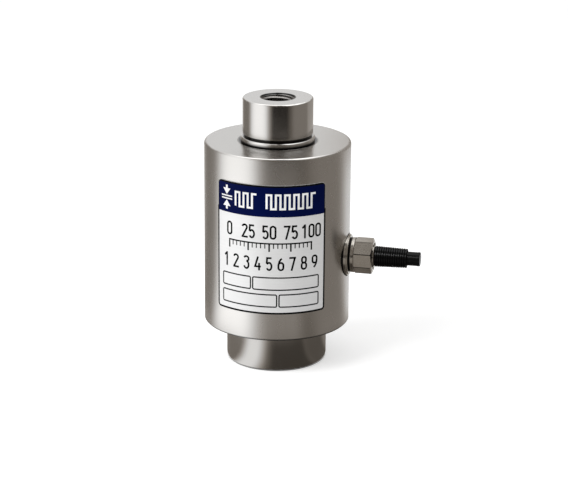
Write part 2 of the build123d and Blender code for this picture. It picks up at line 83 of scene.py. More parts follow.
camera_data = bpy.data.cameras.new("camera")
camera_data.sensor_width = sensor_width
camera_data.lens = focal_pixels * sensor_width / image_width
camera = bpy.data.objects.new("camera", camera_data)
bpy.context.scene.collection.objects.link(camera)
camera_place = view_target + turn_to_view @ towards_camera * view_distance
camera.matrix_world = Matrix.Translation(camera_place) @ axes.to_4x4()
bpy.context.scene.camera = camera
bpy.context.scene.view_settings.view_transform = "Standard"
print("lens", round(camera_data.lens, 1), "mm")

# %% [markdown]
# Shader sums as plain sums
#
# A finish is a small graph of nodes. Written node by node it is long and hard to follow, so three
# helpers make it read like arithmetic. A Wire is one output socket: adding or multiplying wires
# places the Math nodes. A Graph is any tree of nodes, and its node() method places any other node.
# A Finish is the Graph of one material, which ends in a Principled shader.

# %% Wire
class Wire:
    """One output socket of a graph, which can be used in sums."""

    def __init__(self, graph, socket):
        self.graph, self.socket = graph, socket

    def root(self):
        return self.graph.math("SQRT", self)

    def size(self):
        return self.graph.math("ABSOLUTE", self)

    def largest(self, other):
        return self.graph.math("MAXIMUM", self, other)

    def to_and_fro(self, other):
        """Runs up to a number and down to zero again, over and over."""
        return self.graph.math("PINGPONG", self, other)

    def __add__(self, other):
        return self.graph.math("ADD", self, other)

    def __sub__(self, other):
        return self.graph.math("SUBTRACT", self, other)

    def __rsub__(self, other):
        return self.graph.math("SUBTRACT", other, self)

    def __mul__(self, other):
        return self.graph.math("MULTIPLY", self, other)

    __radd__, __rmul__ = __add__, __mul__


print("a wire knows", ", ".join(name for name in vars(Wire) if not name.startswith("__")))

# %% Graph
class Graph:
    """A tree of nodes, of a material or of the world."""

    def __init__(self, tree):
        self.tree = tree

    def node(self, kind, settings=None, sockets=None, out=0):
        """Adds a node of a kind, applies its settings, fills its sockets and returns one output."""
        made = self.tree.nodes.new(kind)
        for name, value in (settings or {}).items():
            setattr(made, name, value)
        for name, value in (sockets or {}).items():
            if isinstance(value, Wire):
                self.tree.links.new(value.socket, made.inputs[name])
            else:
                made.inputs[name].default_value = value
        return Wire(self, made.outputs[out])

    def math(self, operation, *values):
        return self.node("ShaderNodeMath", {"operation": operation}, dict(enumerate(values)))

    def angle(self, up, across):
        """The angle of a direction, from the across axis."""
        return self.math("ARCTAN2", up, across)

    def outputs(self, wire):
        """All outputs of the node that a wire comes from."""
        return [Wire(self, socket) for socket in wire.socket.node.outputs]

    def blend(self, factor, first, second):
        """A colour between two, by a factor from 0 to 1. A Mix node has one set of sockets for each
        kind of value: for colours, inputs 6 and 7 and output 2."""
        return self.node("ShaderNodeMix", {"data_type": "RGBA"},
                         {"Factor": factor, 6: first, 7: second}, out=2)

    def seen_directly(self):
        """1 for a camera, mirror or glass ray, and 0 for the rays that carry light to the object."""
        camera_ray, glossy_ray, glass_ray = (
            self.node("ShaderNodeLightPath", out=ray)
            for ray in ("Is Camera Ray", "Is Glossy Ray", "Is Transmission Ray"))
        return camera_ray.largest(glossy_ray.largest(glass_ray))


print("a graph offers", ", ".join(name for name in vars(Graph) if not name.startswith("__")))

# %% Finish
noise_reach = 0.2


class Finish(Graph):
    """A material: its tree of nodes, and the Principled shader that they end in."""

    def __init__(self, name, **constants):
        self.material = bpy.data.materials.new(name)
        self.material.use_nodes = True
        super().__init__(self.material.node_tree)
        self.shader = self.tree.nodes["Principled BSDF"]
        for socket, value in constants.items():
            self.shader.inputs[socket.replace("_", " ")].default_value = value

    def feed(self, socket, wire):
        """Links a wire to a socket of the Principled shader."""
        self.tree.links.new(wire.socket, self.shader.inputs[socket])

    def place(self):
        """The point on the object, in metres."""
        return self.node("ShaderNodeTexCoord", out="Object")

    def parts(self, vector):
        """The three numbers of a vector, as three wires."""
        return self.outputs(self.node("ShaderNodeSeparateXYZ", None, {"Vector": vector}))

    def noise(self, vector, scale, detail=2.0, roughness=0.5):
        """Soft random values from 0 to 1, with features 1 / scale apart."""
        return self.node("ShaderNodeTexNoise", None, {
            "Vector": vector, "Scale": scale, "Detail": detail, "Roughness": roughness})

    def range(self, wire, low, high, to_low=0.0, to_high=1.0):
        """A value between two limits, moved to two other limits and held inside them."""
        return self.node("ShaderNodeMapRange", None, {
            "Value": wire, "From Min": low, "From Max": high, "To Min": to_low, "To Max": to_high})

    def around(self, clouds, middle, spread):
        """A value near a middle, a little more or less from cloud to cloud. Noise hardly ever goes
        further from 0.5 than its reach."""
        return self.range(clouds, 0.5 - noise_reach, 0.5 + noise_reach,
                          middle - spread, middle + spread)

    def drift(self, clouds, first, second, reach=noise_reach):
        """A colour that drifts between two, from cloud to cloud."""
        return self.blend(self.range(clouds, 0.5 - reach, 0.5 + reach), first, second)

    def relief(self, height, distance):
        """Gives the surface a fine relief of that height in metres."""
        self.feed("Normal", self.node("ShaderNodeBump", None,
                                      {"Height": height, "Distance": distance}))


def grey(value):
    return (value, value, value, 1.0)


def shade(colour, factor):
    """A colour made darker or lighter."""
    return [part * factor for part in colour] + [1.0]


print("a finish adds", ", ".join(name for name in vars(Finish) if not name.startswith("__")))

# %% [markdown]
# The studio: floor and world
#
# The object stands on plain white paper, so the floor is a large pale disc. Its colour alone gives
# nearly white under the lamps. A Light Path node adds the rest for camera, mirror and glass rays, so
# the floor reads as white paper in the picture and in the metal, and still keeps a soft shadow. The
# world does the same: plain studio light on the object, white behind it.

# %% Floor and world
def link(name, data):
    made = bpy.data.objects.new(name, data)
    bpy.context.scene.collection.objects.link(made)
    return made


studio_light, white = 0.57, 1.0
bpy.context.scene.world = bpy.data.worlds.new("studio")
bpy.context.scene.world.use_nodes = True
studio = Graph(bpy.context.scene.world.node_tree)
background = studio.tree.nodes["Background"]
background.inputs["Strength"].default_value = 1.0
studio.tree.links.new(
    studio.blend(studio.seen_directly(), grey(studio_light), grey(white)).socket,
    background.inputs["Color"])

paper_colour, paper_glow = 0.86, 0.45
paper = Finish("white_paper", Base_Color=grey(paper_colour), Roughness=0.9,
               Specular_IOR_Level=0.0, Emission_Strength=1.0)
paper.feed("Emission Color", paper.blend(paper.seen_directly(), grey(0.0), grey(paper_glow)))

floor_radius, floor_gap = 4.0, 0.0002
floor_mesh = bmesh.new()
bmesh.ops.create_circle(floor_mesh, cap_ends=True, segments=96, radius=floor_radius)
floor_data = bpy.data.meshes.new("floor")
floor_mesh.to_mesh(floor_data)
floor_data.materials.append(paper.material)
floor = link("floor", floor_data)
floor.location.z = -floor_gap
print("floor", floor_radius, "m")

# %% [markdown]
# The studio: what the metal mirrors
#
# Metal has hardly any colour of its own. What gives a turned cylinder its look is the room round
# it. This room is pale paper, with a tall soft box on the left, a black card in front, grey card
# on the right and a soft box overhead. Such a room could be built from many boards, but one dome
# of paper is simpler: each card is a patch painted on it, with soft edges.
#
# A card's place is two angles. Its side is counted from the camera's direction, to the right. Its
# height is counted up from the level of the object's middle, so the floor has heights below zero.
# The levels are listed per card: white paper is about 1, a lit soft box is more.

# %% Cards of the studio
Card = namedtuple("Card", "left right side_edge low high height_edge level")
all_round = (-200, 200, 1)
foot_end, floor_end = -40, -6.5
paper_level = 0.9
cards = [
    Card(*all_round, 60, 100, 24, 2.5),                 # soft box overhead
    Card(-154, -96, 30, foot_end, 40, 16, 0.26),        # gap behind the left soft box
    Card(-94, -34, 34, foot_end, floor_end, 6, 1.7),    # left soft box, as the floor shows it
    Card(-88, -38, 34, floor_end, 70, 6, 1.5),          # left soft box
    Card(30, 120, 30, foot_end, 45, 16, 0.28),          # grey card on the right
    Card(112, 169, 16, floor_end, 45, 6, 0.42),         # grey card at the back on the right
    Card(-52, -6, 16, 45, 82, 12, 0.38),                # grey screen beside the soft box
    Card(-26, 34, 36, foot_end, floor_end, 3, 0.36),    # floor in the black card's shade
    Card(30, 54, 24, foot_end, floor_end, 3, 0.20),     # the darkest of that shade
    Card(-28, 42, 30, 6, 50, 8, 0.22),                  # dark grey card in front
    Card(-28, 42, 30, floor_end, 8, 3, 0.01),           # black card in front, below it
    Card(-6, 36, 12, 50, 84, 3, 0.01),                  # black card in front, above it
    Card(*all_round, -90, foot_end, 12, 0.25),          # shade round the object's foot
    Card(-60, -25, 24, -90, foot_end, 12, 1.15),        # the left soft box's light beside it
    Card(-12, 56, 18, -90, foot_end, 12, 0.07),         # shade in front of the foot
    Card(54, 104, 18, -90, foot_end, 12, 0.12),         # shade on the right of the foot
]


def inside(at, low, high, edge):
    """1 between two limits and 0 outside them, with a smooth slope across each limit."""
    share = max(min((at - low) / edge + 0.5, (high - at) / edge + 0.5, 1), 0)
    return share * share * (3 - 2 * share)


def level_at(side, height):
    """How bright the room is in a direction: each card covers what came before it."""
    level = paper_level
    for card in cards:
        share = (inside(side, card.left, card.right, card.side_edge)
                 * inside(height, card.low, card.high, card.height_edge))
        level += (card.level - level) * share
    return level


print(len(cards), "cards")

# %% [markdown]
# The studio: the dome
#
# The dome is a net of points that starts close round the object's foot, runs out over the floor and
# rises overhead. Every point gets the colour of its direction, and the shader lets it glow. The net
# is finer where a small change shows in the metal. Only mirror rays see the dome, so it hides the
# object from no camera.

# %% Mirror dome
dome_radius, dome_foot = 0.42, 0.036
skirt_height, wall_height = 0.0005, 0.002
dome_light = 2.6
warm_shade = (1.0, 0.86, 0.72)
neutral_level = 0.9


def dome_colour(level):
    """Dim paper is a little warm, and bright paper is white."""
    share = min(level / neutral_level, 1.0)
    return [level / dome_light * (warm * (1 - share) + share) for warm in warm_shade] + [1.0]


skirt = [dome_foot, 0.045, 0.055, 0.065, 0.075, 0.09, 0.11, 0.13, 0.15, 0.20, 0.26, 0.33, 0.40]
rises = [0, 2, 3.5, 4.5, 5.5, 7, 10, 14, 19, 24, 30, 36, 42, 48, 55, 62, 67, 72, 77, 82, 84.5,
         86.5, 90]
profile = [(radius, skirt_height) for radius in skirt]
profile += [(dome_radius * cos(radians(rise)), wall_height + dome_radius * sin(radians(rise)))
            for rise in rises]
dome_steps, pole_gap = 120, 0.00001
dome = bmesh.new()
paint = dome.verts.layers.float_color.new("level")
rows = []
for step in range(dome_steps):
    side = step * 360 / dome_steps - 180
    turn = radians(side) + view_side
    row = []
    for radius, up in profile:
        vertex = dome.verts.new((radius * sin(turn), -radius * cos(turn), up))
        height = degrees(atan2(up - view_target.z, radius))
        vertex[paint] = dome_colour(level_at(side, height))
        row.append(vertex)
    rows.append(row)
for row, following in zip(rows, rows[1:] + rows[:1]):
    for a, b, c, d in zip(row, row[1:], following[1:], following):
        dome.faces.new((a, b, c, d)).smooth = True
bmesh.ops.remove_doubles(dome, verts=dome.verts, dist=pole_gap)
dome_data = bpy.data.meshes.new("mirror_dome")
dome.to_mesh(dome_data)
print("dome of", len(dome_data.polygons), "faces")

# %% Light of the dome
dome_finish = Finish("mirror_dome", Base_Color=grey(0.0), Roughness=1.0, Specular_IOR_Level=0.0,
                     Emission_Strength=dome_light)
dome_finish.feed("Emission Color", dome_finish.node(
    "ShaderNodeAttribute", {"attribute_name": "level"}, out="Color"))
dome_finish.material.cycles.emission_sampling = "NONE"
dome_data.materials.append(dome_finish.material)
mirror_dome = link("mirror_dome", dome_data)
mirror_dome.visible_camera = False
mirror_dome.visible_diffuse = False
mirror_dome.visible_transmission = False
mirror_dome.visible_shadow = False
print("only mirror rays see", mirror_dome.name)

# %% [markdown]
# The studio: lamps
#
# The printed plate is not a mirror, so it needs real light. One large soft lamp on the left gives it
# the slow fall from light to darker that a curved sheet shows, and a weak one on the right opens
# the shadows. Mirror rays don't see these two: the dome stands for them there.
#
# A black boot in a pale studio still needs a row of small glints, or its ribs can't be told apart.
# They come from a third, small lamp that mirror rays do see. Light linking gives it to the boot and
# the cable alone, because on steel it would show as a white spot.

# %% Lamps
def soft_lamp(name, side, height, distance, size, watts, glints=False):
    """A square lamp, aimed at the middle of the object, at an angle from the camera's side."""
    data = bpy.data.lights.new(name, "AREA")
    data.shape, data.size, data.energy = "SQUARE", size, watts
    lamp = link(name, data)
    turn, rise = radians(side) + view_side, radians(height)
    away = Vector((sin(turn) * cos(rise), -cos(turn) * cos(rise), sin(rise)))
    lamp.location = view_target + away * distance
    lamp.rotation_mode = "QUATERNION"
    lamp.rotation_quaternion = away.to_track_quat("Z", "Y")
    lamp.visible_camera = False
    lamp.visible_glossy = glints
    return lamp


lamps = [
    soft_lamp("key_lamp", side=-58, height=38, distance=1.3, size=0.9, watts=12.6),
    soft_lamp("fill_lamp", side=60, height=30, distance=1.5, size=1.0, watts=3),
    soft_lamp("glint_lamp", side=-28, height=45, distance=1.0, size=0.16, watts=5.0, glints=True),
]
glint_catchers = bpy.data.collections.new("glint_catchers")
for name in ("strain_relief_boot", "cable_jacket", "cable_end_cap"):
    glint_catchers.objects.link(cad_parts[name])
lamps[-1].light_linking.receiver_collection = glint_catchers
for lamp in lamps:
    print(lamp.name, round(lamp.data.energy, 1), "W")

# %% [markdown]
# Turned steel: its marks
#
# The housing and the bosses come from a lathe and are finished with fine abrasive while they spin,
# so every mark runs round the axis: straight lines on the walls and rings on the flat faces. A
# noise that hardly changes round the axis and changes fast along it gives exactly that. A sum of
# radius and height serves walls and faces alike, so no seam shows where they meet. In some corners
# and along some edges the colour is darkened to a fine dark line: painted shade, where shade falls.

# %% Marks of the lathe
face_stretch = 1.37


def lathe_lines(finish, wave, pitch):
    """Random lines round the Z axis: pitch is their spacing in metres, wave how often they break
    off. The stretch keeps the rings of a face from matching the lines of the wall below it."""
    x, y, z = finish.parts(finish.place())
    radius = (x * x + y * y).root()
    along = z + radius * face_stretch
    around = finish.node("ShaderNodeCombineXYZ", None,
                         {0: x * wave, 1: y * wave, 2: along * (1 / pitch)})
    return finish.noise(around, 1.0, detail=3.0, roughness=0.6)


def near_rings(finish, rings):
    """1 on some circles round the Z axis and 0 away from them. Each ring has a radius, a height and
    a reach in mm."""
    x, y, z = finish.parts(finish.place())
    radius = (x * x + y * y).root()
    mask = None
    for ring_radius, height, reach in rings:
        out, up = radius - ring_radius * mm, z - height * mm
        near = finish.range((out * out + up * up).root(), reach * mm, reach * mm * 0.4)
        mask = near if mask is None else mask.largest(near)
    return mask


print("marks and dark rings ready")

# %% [markdown]
# Turned steel: the finish
#
# The relief of the marks is about a thousandth of a millimetre, or they would look like a thread.
# The gloss changes only in broad clouds. Fine specks of gloss would be smaller than a pixel here,
# and the mirrored cards would then break up into grain like orange peel.

# %% Turned metal
groove_pitch = 0.0012
# Painted shade: a near black that darkens the colour round given rings.
painted_shade = grey(0.012)
breaks = 14


def turned(name, colour, roughness, depth, pitch=0.0006, spread=0.05, flat=None, shade_rings=()):
    """Metal from a lathe. depth is the relief of its marks in metres, flat the roughness of its
    level faces. The last argument lists rings round which the colour is darkened as painted shade."""
    finish = Finish(name, Metallic=1.0)
    marks = lathe_lines(finish, breaks, pitch)
    clouds = finish.noise(finish.place(), 45, detail=3.0)
    tone = finish.drift(marks * 0.5 + clouds * 0.5, shade(colour, 0.98), shade(colour, 1.012),
                        reach=0.15)
    # Painted shade: the colour goes near black round each ring, in grooves and along edges.
    if shade_rings:
        tone = finish.blend(near_rings(finish, shade_rings), tone, painted_shade)
    finish.feed("Base Color", tone)
    gloss = finish.around(clouds, roughness, spread)
    if flat:
        facing = finish.parts(finish.node("ShaderNodeNewGeometry", out="Normal"))[2]
        gloss = gloss - finish.range(facing, 0.5, 0.95) * (roughness - flat)
    finish.feed("Roughness", gloss)
    finish.relief(lathe_lines(finish, breaks, groove_pitch), depth)
    return finish


steel = (0.580, 0.568, 0.552)
# Rings of painted shade, each a radius, a height and a reach in mm: the bead's foot, the housing's
# lower edge, the boss's neck, the bore's rim and the base's lower edge.
bead_foot, housing_edge = (25.55, 155.0, 2.0), (49.8, 28.0, 1.5)
neck_corner, bore_rim, base_edge = (23.0, 159.2, 1.1), (11.55, 184.45, 1.2), (34.5, 0.0, 1.7)
finishes = {
    "satin_steel": turned("satin_steel", steel, 0.27, depth=1.2e-6, pitch=0.0003, spread=0.012,
                          flat=0.25, shade_rings=(bead_foot, housing_edge)),
    "ground_steel": turned("ground_steel", steel, 0.16, depth=0.5e-6, pitch=0.0003, spread=0.015,
                           shade_rings=(neck_corner, bore_rim, base_edge)),
    "bright_steel": turned("bright_steel", (0.60, 0.59, 0.58), 0.10, depth=0.4e-6, pitch=0.0003,
                           spread=0.015, shade_rings=(bead_foot,)),
    "screw_steel": turned("screw_steel", (0.50, 0.49, 0.47), 0.30, depth=6e-6),
    "terminal_copper": turned("terminal_copper", (0.78, 0.42, 0.24), 0.32, depth=4e-6),
}
print(len(finishes), "turned finishes")

# %% [markdown]
# Plated brass
#
# The cable gland is turned and milled brass with a nickel coat. Nickel is warmer and darker than
# steel, and the coat fills the tool marks, so the relief is only a very fine even grain and the
# finish is a soft gloss. On the nut's eight corners a dark line is painted into the colour: a
# painted reflection of the dark band that a rounded corner mirrors. The lines come from the angle
# round the gland's axis, which lies along X. They are kept to the nut's flats, and off its top and
# upper back, where the light washes them out.

# %% Nickel plate
nut_side_count = 8
first_corner = radians(25.8)
line_edge, line_core = radians(2.2), radians(1.0)
flats_radius, flats_start = (12.15 * mm, 12.3 * mm), (55.2 * mm, 55.4 * mm)
washed_out = (radians(70), radians(60))


def gland_metal():
    finish = Finish("plated_gland", Metallic=1.0)
    low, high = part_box("gland_nut")
    lifted = finish.node("ShaderNodeVectorMath", {"operation": "SUBTRACT"},
                         {0: finish.place(), 1: (0.0, 0.0, (low.z + high.z) / 2)})
    x, y, z = finish.parts(lifted)
    from_corner = (finish.angle(z, y) - first_corner).to_and_fro(radians(180 / nut_side_count))
    on_flats = finish.range((y * y + z * z).root(), *flats_radius) * finish.range(x, *flats_start)
    in_front = finish.range(finish.angle(z, y * -1.0), *washed_out)
    # Painted reflection: a dark line along each corner of the nut, kept off where light washes it
    # out.
    corner = finish.range(from_corner, line_edge, line_core) * on_flats * in_front
    grain = finish.noise(lifted, 900, detail=3.0, roughness=0.6)
    clouds = finish.noise(lifted, 160, detail=2.0)
    plate = finish.drift(clouds, (0.475, 0.450, 0.410, 1.0), (0.53, 0.505, 0.465, 1.0), reach=0.15)
    finish.feed("Base Color", finish.blend(corner, plate, (0.05, 0.045, 0.04, 1.0)))
    finish.feed("Roughness", finish.around(clouds, 0.195, 0.025))
    finish.relief(grain, 1.5e-6)
    return finish


finishes["plated_gland"] = gland_metal()
print("gland dressed, corner lines every", 360 / nut_side_count, "degrees")

# %% [markdown]
# Rubber, cable and other plastics
#
# Moulded rubber and plastic take the texture of their mould: a fine even grain, with a gloss that
# varies a little. The rubber is nearly black, and the cable's jacket is smooth, so it shows a
# clear streak of light. The same recipe serves the wires, films and boards inside the housing.

# %% Moulded plastics
def moulded(name, colour, roughness, grain_size=0.00035, depth=1e-5, spread=0.06, **constants):
    """A moulded or cast surface. grain_size and depth are those of its grain, in metres."""
    finish = Finish(name, **constants)
    grain = finish.noise(finish.place(), 1 / grain_size, detail=3.0, roughness=0.6)
    clouds = finish.noise(finish.place(), 120, detail=2.0)
    finish.feed("Base Color", finish.drift(clouds, shade(colour, 0.88), shade(colour, 1.1)))
    finish.feed("Roughness", finish.around(clouds, roughness, spread))
    finish.relief(grain, depth)
    return finish


soot = (0.003, 0.003, 0.003)
for name, colour, roughness, extras in (
        ("black_rubber", soot, 0.24, {"Specular_IOR_Level": 0.10}),
        ("cable_black", soot, 0.20, {"Specular_IOR_Level": 0.09, "depth": 4e-6}),
        ("insert_plastic", (0.60, 0.60, 0.58), 0.45, {}),
        ("lead_white", (0.72, 0.71, 0.68), 0.40, {}),
        ("core_red", (0.55, 0.02, 0.02), 0.40, {}),
        ("core_green", (0.02, 0.28, 0.06), 0.40, {}),
        ("core_white", (0.75, 0.75, 0.73), 0.40, {}),
        ("core_black", (0.02, 0.02, 0.02), 0.40, {}),
        ("resistor_body", (0.05, 0.20, 0.30), 0.35, {}),
        ("gauge_film", (0.62, 0.36, 0.06), 0.25, {"grain_size": 0.0008}),
        ("board_green", (0.015, 0.16, 0.06), 0.30, {"grain_size": 0.0012})):
    finishes[name] = moulded(name, colour, roughness, **extras)
print(len(finishes), "finishes")

# %% [markdown]
# The ribbed boot
#
# Hands and tools rub the ribs of a boot smooth, while the grooves between them stay dull. The
# grooves also get a painted shade: their colour is a little darker than the tops of the ribs.
# The boot tapers, so a rib is told from a groove by how far a point lies below the line that joins
# the tops of the ribs, and not by its distance from the axis alone.

# %% Boot rubber
boot_first_radius, boot_last_radius = 7.15 * mm, 6.6 * mm
groove_depth, rib_depth = -0.4 * mm, -0.1 * mm


def ribbed_rubber():
    finish = Finish("boot_rubber", Specular_IOR_Level=0.15)
    low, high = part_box("strain_relief_boot")
    x, y, z = finish.parts(finish.place())
    lifted = z - (low.z + high.z) / 2
    along = finish.range(x, low.x, high.x)
    rib_top = boot_first_radius - along * (boot_first_radius - boot_last_radius)
    crest_rubbed_and_lit = finish.range((y * y + lifted * lifted).root() - rib_top, groove_depth, rib_depth)
    grain = finish.noise(finish.place(), 2600, detail=3.0, roughness=0.6)
    # Painted shade in the grooves: their colour is darker than that of the rib tops.
    finish.feed("Base Color", finish.blend(crest_rubbed_and_lit, grey(0.0005), grey(0.0015)))
    finish.feed("Roughness", 0.95 - crest_rubbed_and_lit * 0.75 + grain * 0.05)
    finish.relief(grain, 6e-6)
    return finish


finishes["boot_rubber"] = ribbed_rubber()
print("ribs taper from", boot_first_radius / mm, "to", boot_last_radius / mm, "mm")

# %% [markdown]
# The rating plate's metal
#
# The plate is thin aluminium with a clear matt lacquer. It scatters much more light than it
# mirrors, so it is set as only a little metal, under a weak coat. Its brushing runs along the
# plate, which is round the same axis as the lathe's lines.

# %% Plate
plate_centre, plate_radius, plate_corner = radians(-84), 50.5, 2.6
field_left, field_right = -40.1, 40.1
field_bottom, field_top, header_bottom = 47.2, 137.0, 115.5


def lacquered_sheet():
    finish = Finish("plate_silver", Metallic=0.15, Coat_Weight=0.15, Coat_Roughness=0.25)
    marks = lathe_lines(finish, wave=8, pitch=0.0008)
    clouds = finish.noise(finish.place(), 60, detail=2.0)
    finish.feed("Base Color", finish.drift(marks * 0.5 + clouds * 0.5, grey(0.68), grey(0.735)))
    finish.feed("Roughness", finish.around(clouds, 0.44, 0.04))
    finish.relief(marks, 3e-6)
    return finish


finishes["plate_silver"] = lacquered_sheet()
print("plate", round(field_right - field_left, 1), "by", field_top - field_bottom, "mm")

# %% [markdown]
# The inks
#
# The header is a field of dark blue ink, and the rest of the print is black or white. Ink dries
# matt, with a fine grain. A thin black line frames the plate. Below the header it is drawn as a
# piece of its own. On the header it is part of the blue ink's finish: how far a point lies inside
# the outline follows from its angle round the plate and its height, with the corners rounded.

# %% Inks
outline_width, outline_slope = 1.3, 0.25


def plate_edge(finish):
    """1 in the black line inside the plate's outline and 0 elsewhere."""
    x, y, z = finish.parts(finish.place())
    across = (finish.angle(y, x) - plate_centre) * (plate_radius * mm)
    past_side = (across.size() - (field_right - plate_corner) * mm).largest(0.0)
    past_top = (z - (field_top - plate_corner) * mm).largest(0.0)
    depth = plate_corner * mm - (past_side * past_side + past_top * past_top).root()
    return finish.range(depth, outline_width * mm, (outline_width - outline_slope) * mm)


def ink(name, colour, roughness, framed=False):
    finish = Finish(name, Specular_IOR_Level=0.03)
    grain = finish.noise(finish.place(), 1400, detail=3.0)
    clouds = finish.noise(finish.place(), 70, detail=2.0)
    tone = finish.drift(clouds, shade(colour, 0.85), shade(colour, 1.1))
    if framed:
        tone = finish.blend(plate_edge(finish), tone, grey(0.003))
    finish.feed("Base Color", tone)
    finish.feed("Roughness", finish.around(grain, roughness, 0.05))
    finish.relief(grain, 2e-6)
    return finish


finishes["header_blue"] = ink("header_blue", (0.0001, 0.0030, 0.040), 0.35, framed=True)
finishes["black_ink"] = ink("black_ink", (0.003, 0.003, 0.0035), 0.40)
finishes["white_ink"] = ink("white_ink", (0.80, 0.80, 0.80), 0.45)
print(len(finishes), "finishes with the inks")

# %% [markdown]
# The print on the plate: a pen
#
# A rating plate carries printed data. Here it holds only what any such plate could: a scale with
# plain numbers, ruled fields that are left blank, a load arrow and the zigzag of a wire gauge. They
# could be curve objects bent by a modifier, but small flat shapes that are wrapped in code stay
# crisp and keep an even thickness. They are drawn first, in millimetres, on a flat sheet.

# %% Pen for flat shapes
arc_step = 15


def shape(sheet, points):
    """A filled outline."""
    sheet.faces.new([sheet.verts.new((across, up, 0)) for across, up in points])


def bar(sheet, left, bottom, width, height):
    """A filled box."""
    shape(sheet, [(left, bottom), (left + width, bottom),
                  (left + width, bottom + height), (left, bottom + height)])


def stroke(sheet, points, width, closed=False):
    """A pen line of even width, whose corners are sharp."""
    points = [Vector(point) for point in points]
    pairs = list(zip(points, points[1:] + points[:1] if closed else points[1:]))
    sides = [Vector((a.y - b.y, b.x - a.x)).normalized() for a, b in pairs]
    before = [sides[-1]] + sides if closed else sides[:1] + sides
    after = sides + sides[:1] if closed else sides + sides[-1:]
    edges = []
    for point, first, second in zip(points, before, after):
        corner = (first + second) / (1 + first.dot(second)) * (width / 2)
        edges.append([sheet.verts.new((*(point + side), 0)) for side in (-corner, corner)])
    for (a, b), (c, d) in zip(edges, edges[1:] + edges[:1] if closed else edges[1:]):
        sheet.faces.new((a, c, d, b))


def arc(across, up, wide, tall, start, end):
    """Points of a part of an ellipse, between two angles in degrees."""
    count = max(int(abs(end - start) / arc_step), 1)
    angles = [radians(start + (end - start) * step / count) for step in range(count + 1)]
    return [(across + wide * cos(angle), up + tall * sin(angle)) for angle in angles]


def round_box(left, bottom, width, height, corner):
    """The outline of a box with round corners, anticlockwise from its right side."""
    right, top = left + width - corner, bottom + height - corner
    left, bottom = left + corner, bottom + corner
    return [point for across, up, start in ((right, top, 0), (left, top, 90),
                                            (left, bottom, 180), (right, bottom, 270))
            for point in arc(across, up, corner, corner, start, start + 90)]


print("a box with round corners has", len(round_box(0, 0, 2, 1, 0.2)), "points")

# %% [markdown]
# The print on the plate: numerals
#
# Blender's text objects could write the numbers, but at this size the fine inner spaces of a font
# close up. Numbers on such plates are often engraved with one pen of even width, so each digit is
# drawn here as one or two pen lines, from the parts of circles and straight strokes.

# %% Numerals
pen_width, digit_width, digit_height, digit_step = 1.28, 3.3, 8.4, 5.1
bowl_radius, bowl_top = digit_width / 2, 5.1


def digit_lines(digit):
    """The pen lines of a plain digit: pairs of points and whether the line is closed."""
    wide, high, bowl, pen = digit_width, digit_height, bowl_radius, pen_width / 2
    ring = (round_box(0, 0, wide, bowl_top, bowl), True)
    tail = (arc(wide, bowl_top / 2, wide, high - bowl_top / 2, 180, 108), False)
    waist = high / 2 + 0.2
    lines = {
        "0": [(round_box(0, 0, wide, high, bowl), True)],
        "1": [([(bowl + 0.3, high + pen), (bowl + 0.3, -pen)], False),
              ([(bowl + 0.2, high), (0.1, high - 1.9)], False)],
        "2": [(arc(bowl, high - bowl, bowl, bowl, 170, -25) + [(0.1, 0.2)], False),
              ([(-pen, 0), (wide + pen, 0)], False)],
        "3": [(arc(bowl, high - bowl, bowl, bowl, 160, -90), False),
              (arc(bowl, (high - wide) / 2, bowl, (high - wide) / 2, 90, -160), False)],
        "4": [([(bowl + 0.4, high + pen), (0, 2.1), (wide + 0.7, 2.1)], False),
              ([(wide - 0.5, 4.6), (wide - 0.5, -pen)], False)],
        "5": [([(wide, high), (0.3, high), (0.1, 4.2)], False),
              (arc(bowl, bowl_top / 2, bowl, bowl_top / 2, 145, -150), False)],
        "6": [ring, tail],
        "7": [([(-pen, high), (wide + pen, high)], False),
              ([(wide - 0.1, high), (0.9, -pen)], False)],
        "8": [(round_box(0, 0, wide, waist, bowl), True),
              (round_box(0.2, waist, wide - 0.4, high - waist, bowl - 0.2), True)],
        "9": [([(wide - across, high - up) for across, up in line], closed)
              for line, closed in (ring, tail)],
    }
    return lines[digit]


def numerals(sheet, text, middle, bottom):
    """Writes plain digits with the pen, centred on a place across the sheet."""
    left = middle - ((len(text) - 1) * digit_step + digit_width) / 2
    for place, digit in enumerate(text):
        for line, closed in digit_lines(digit):
            stroke(sheet, [(left + place * digit_step + across, bottom + pen_width / 2 + up)
                           for across, up in line], pen_width, closed)


print("a digit is", digit_width + pen_width, "by", digit_height + pen_width, "mm")

# %% [markdown]
# The print on the plate: wrapping
#
# Ink is a few hundredths of a millimetre thick. Each flat drawing is cut into narrow strips, so
# that it can bend, given that thickness, and wrapped round the plate: across becomes an angle and
# up stays up. The middle of the plate looks past the Y axis by a few degrees.

# %% Wrap a drawing
strip_width, ink_thickness = 1.5, 0.02
merge_gap, cut_gap = 0.001, 0.0001


def piece(name, mesh, finish):
    """A finished part of the object: it rides on the root body and takes the finish of that name."""
    bmesh.ops.recalc_face_normals(mesh, faces=mesh.faces)
    data = bpy.data.meshes.new(name)
    mesh.to_mesh(data)
    data.materials.append(finishes[finish].material)
    made = link(name, data)
    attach(made, "root")
    print(name, len(data.polygons), "faces")
    return made


